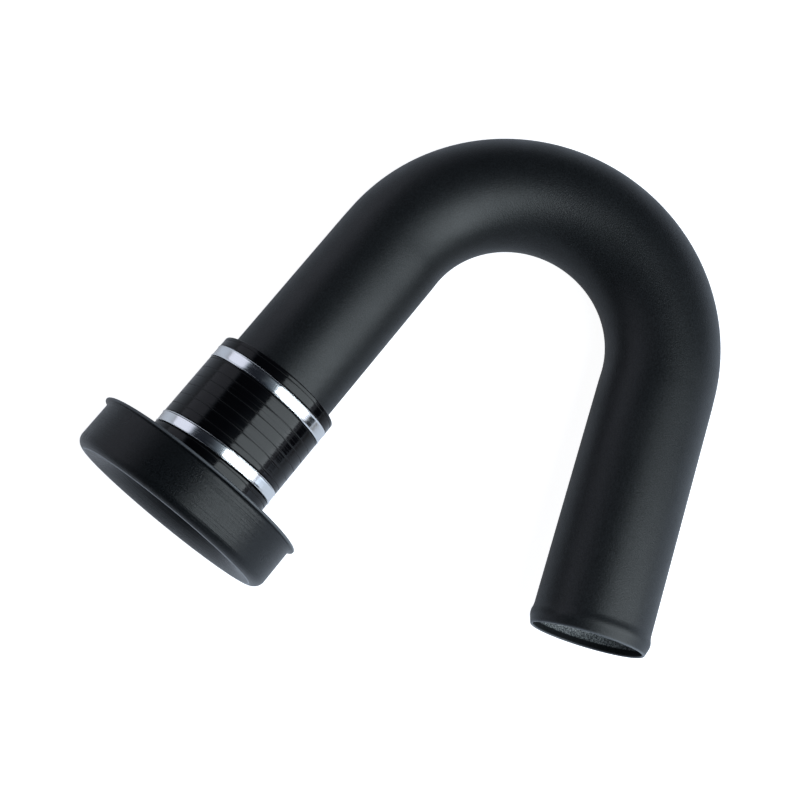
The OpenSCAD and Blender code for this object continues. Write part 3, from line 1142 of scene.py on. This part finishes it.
@dataclass(frozen=True)
class Studio:
    """A white sweep under the object, a dark ceiling with pale walls, and a soft box."""

    floor_half: float = 3.0
    floor_colour: str = "#c9d0de"
    camera_fill: float = 0.96
    gloss_share: float = 0.22
    ceiling: str = "#14171d"
    ceiling_glow: str = "#66737f"
    wall: str = "#d2d6e4"
    wall_strength: float = 1.22
    left: Tuple[float, float, float] = (-0.955, 0.295, 0.0)
    left_edge: Tuple[float, float] = (0.69, 0.79)
    right: Tuple[float, float, float] = (0.955, -0.295, 0.0)
    right_edge: Tuple[float, float] = (0.94, 0.975)
    right_share: float = 0.9
    lamp_way: Tuple[float, float, float] = (0.70, -0.25, 0.67)
    lamp_edge: Tuple[float, float] = (0.5, 1.0)
    lamp_share: float = 0.32

    def build(self) -> None:
        """Makes the floor, the world and the lamps."""
        self.floor()
        self.world()
        for panel in self.panels():
            panel.build()

    def panels(self) -> List[Panel]:
        """The lamps: one large soft box up on the right."""
        return [Panel(
            "right_softbox", (0.82, -0.25, 0.79), (-0.04, -0.11, 0.05), (0.85, 1.45), 19.5, "#effaff", 0.9)]

    def seen_share(self, tree: bpy.types.NodeTree, glossy: float) -> bpy.types.NodeSocket:
        """How much of the white a ray sees: camera + share * (glossy + transmission), at most 1.

        Args:
            tree: The shader tree.
            glossy: The share that mirrors and glass see.

        Returns:
            The socket with the share.
        """
        path = add_node(tree, "ShaderNodeLightPath")
        mirrors = add_node(tree, "ShaderNodeMath", {"operation": "ADD", "use_clamp": True}, {
            0: path.outputs["Is Glossy Ray"], 1: path.outputs["Is Transmission Ray"]})
        return add_node(tree, "ShaderNodeMath", {"operation": "MULTIPLY_ADD", "use_clamp": True}, {
            0: mirrors.outputs[0], 1: glossy, 2: path.outputs["Is Camera Ray"]}).outputs[0]

    def floor(self) -> bpy.types.Object:
        """A white sheet that stays white to the camera and keeps the object's shadow.

        Returns:
            The sheet.
        """
        ends = (-self.floor_half, self.floor_half)
        grid = np.array([[(x, y, 0) for y in ends] for x in ends], float)
        floor = grid_mesh("sweep", grid, False, False)
        material, tree, shader = new_material("white_paper_sweep")
        paper = add_node(tree, "ShaderNodeTexNoise", {}, {
            "Vector": add_node(tree, "ShaderNodeTexCoord").outputs["Object"], "Scale": 3.0})
        base = np.array(linear(self.floor_colour))
        tone = ramp(tree, paper.outputs["Fac"], [(0.3, tuple(base * 0.995)), (0.7, tuple(base))])
        tree.links.new(tone, shader.inputs["Base Color"])
        shader.inputs["Roughness"].default_value = 0.9
        shader.inputs["Specular IOR Level"].default_value = 0.1
        glow = add_node(tree, "ShaderNodeEmission", {}, {"Color": grey(1.0)})
        power = add_node(tree, "ShaderNodeMath", {"operation": "MULTIPLY"}, {
            0: self.seen_share(tree, self.gloss_share), 1: self.camera_fill})
        tree.links.new(power.outputs[0], glow.inputs["Strength"])
        both = add_node(tree, "ShaderNodeAddShader", {}, {0: shader.outputs[0], 1: glow.outputs[0]})
        output = next(n for n in tree.nodes if n.type == "OUTPUT_MATERIAL")
        tree.links.new(both.outputs[0], output.inputs["Surface"])
        floor.data.materials.append(material)
        return floor

    def glow(self, tree: bpy.types.NodeTree, way: bpy.types.NodeSocket, towards: Sequence[float],
             edge: Sequence[float], share: float) -> bpy.types.NodeSocket:
        """A patch of light in the room: share * smoothstep(way . towards from one edge to the other).

        Args:
            tree: The world's tree.
            way: The ray's direction.
            towards: The patch's middle, of length one.
            edge: The cosines at which the patch starts and is full.
            share: Its strength.

        Returns:
            The socket with the patch's light.
        """
        facing = add_node(tree, "ShaderNodeVectorMath", {"operation": "DOT_PRODUCT"}, {
            0: way, 1: towards}).outputs["Value"]
        return add_node(tree, "ShaderNodeMapRange", {"interpolation_type": "SMOOTHSTEP"}, {
            "Value": facing, "From Min": edge[0], "From Max": edge[1],
            "To Min": 0.0, "To Max": share}).outputs["Result"]

    def world(self) -> None:
        """A dark room with a pale wall on the left, a low pale wall on the right, and a
        ceiling that is lighter towards the soft box.

        Each is a smooth step on way . direction, where way is the ray's own
        direction: the left wall starts 46 degrees from its direction, the right one
        20, and the ceiling's glow grows from 60 degrees all the way to the soft box.
        The room's tone is their greatest value on a ramp from dark to pale.
        """
        world = bpy.data.worlds.new("studio")
        bpy.context.scene.world = world
        world.use_nodes = True
        tree = world.node_tree
        tree.nodes.clear()
        way = add_node(tree, "ShaderNodeTexCoord").outputs["Generated"]
        shares = [
            self.glow(tree, way, self.left, self.left_edge, 1.0),
            self.glow(tree, way, self.right, self.right_edge, self.right_share),
            self.glow(tree, way, self.lamp_way, self.lamp_edge, self.lamp_share)]
        brightest = shares[0]
        for share in shares[1:]:
            brightest = add_node(tree, "ShaderNodeMath", {"operation": "MAXIMUM"}, {
                0: brightest, 1: share}).outputs[0]
        tone = ramp(tree, brightest, [
            (0.0, linear(self.ceiling)), (0.35, linear(self.ceiling_glow)), (1.0, linear(self.wall))])
        room = add_node(tree, "ShaderNodeBackground", {}, {"Color": tone, "Strength": self.wall_strength})
        white = add_node(tree, "ShaderNodeBackground", {}, {"Color": grey(1.0), "Strength": 1.0})
        seen = add_node(tree, "ShaderNodeLightPath").outputs["Is Camera Ray"]
        mixed = add_node(tree, "ShaderNodeMixShader", {}, {0: seen, 1: room.outputs[0], 2: white.outputs[0]})
        add_node(tree, "ShaderNodeOutputWorld", {}, {"Surface": mixed.outputs[0]})


def dress_nodes(material: bpy.types.Material, names: Sequence[str]) -> None:
    """Gives CAD nodes that stay their finish.

    Args:
        material: The finish.
        names: The nodes' names.
    """
    for name in names:
        node = frame["nodes"][name]
        node.data.materials.clear()
        node.data.materials.append(material)


def main() -> None:
    """Builds the view, the studio and every piece."""
    logging.basicConfig(level=logging.INFO, format="%(name)s: %(message)s")
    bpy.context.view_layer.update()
    bpy.context.scene.view_settings.view_transform = "Standard"
    View().build()
    Studio().build()
    pipe = PipeLine.from_record(frame["record"], BEND_RADIUS, SPIGOT_STATION)
    leg = pipe.filter_leg()
    LOG.info("bend turns %.2f degrees", math.degrees(pipe.turn))
    tube_coat = PowderCoat("powder_coated_aluminium").build()
    adapter_coat = PowderCoat("powder_coated_spun_aluminium", "#111315", 0.29, 0.24, spin_mm=1.1).build()
    rubber = HoseRubber("wrapped_silicone_rubber").build()
    bright = Steel("buffed_stainless_strip", "#f4f5f7", 0.16, 0.35, 0.5).build()
    plated = Steel("zinc_plated_steel", "#c2c3c0", 0.26, 0.9, 0.0, Lay.TUMBLED).build()
    pieces = [
        IntakeTube(pipe, tube_coat).build(),
        Coupler(leg, rubber, (UPPER_CLAMP, LOWER_CLAMP)).build(),
        FilterAdapter(leg, adapter_coat).build(),
    ]
    for place in (UPPER_CLAMP, LOWER_CLAMP):
        pieces += ClampBand(place, leg, bright).build()
    dress_nodes(plated, [
        place.name + part for place in (UPPER_CLAMP, LOWER_CLAMP) for part in ("_housing", "_screw")])
    for piece in pieces:
        LOG.info("%s: %d faces", piece.name, len(piece.data.polygons))


if __name__ == "__main__":
    main()
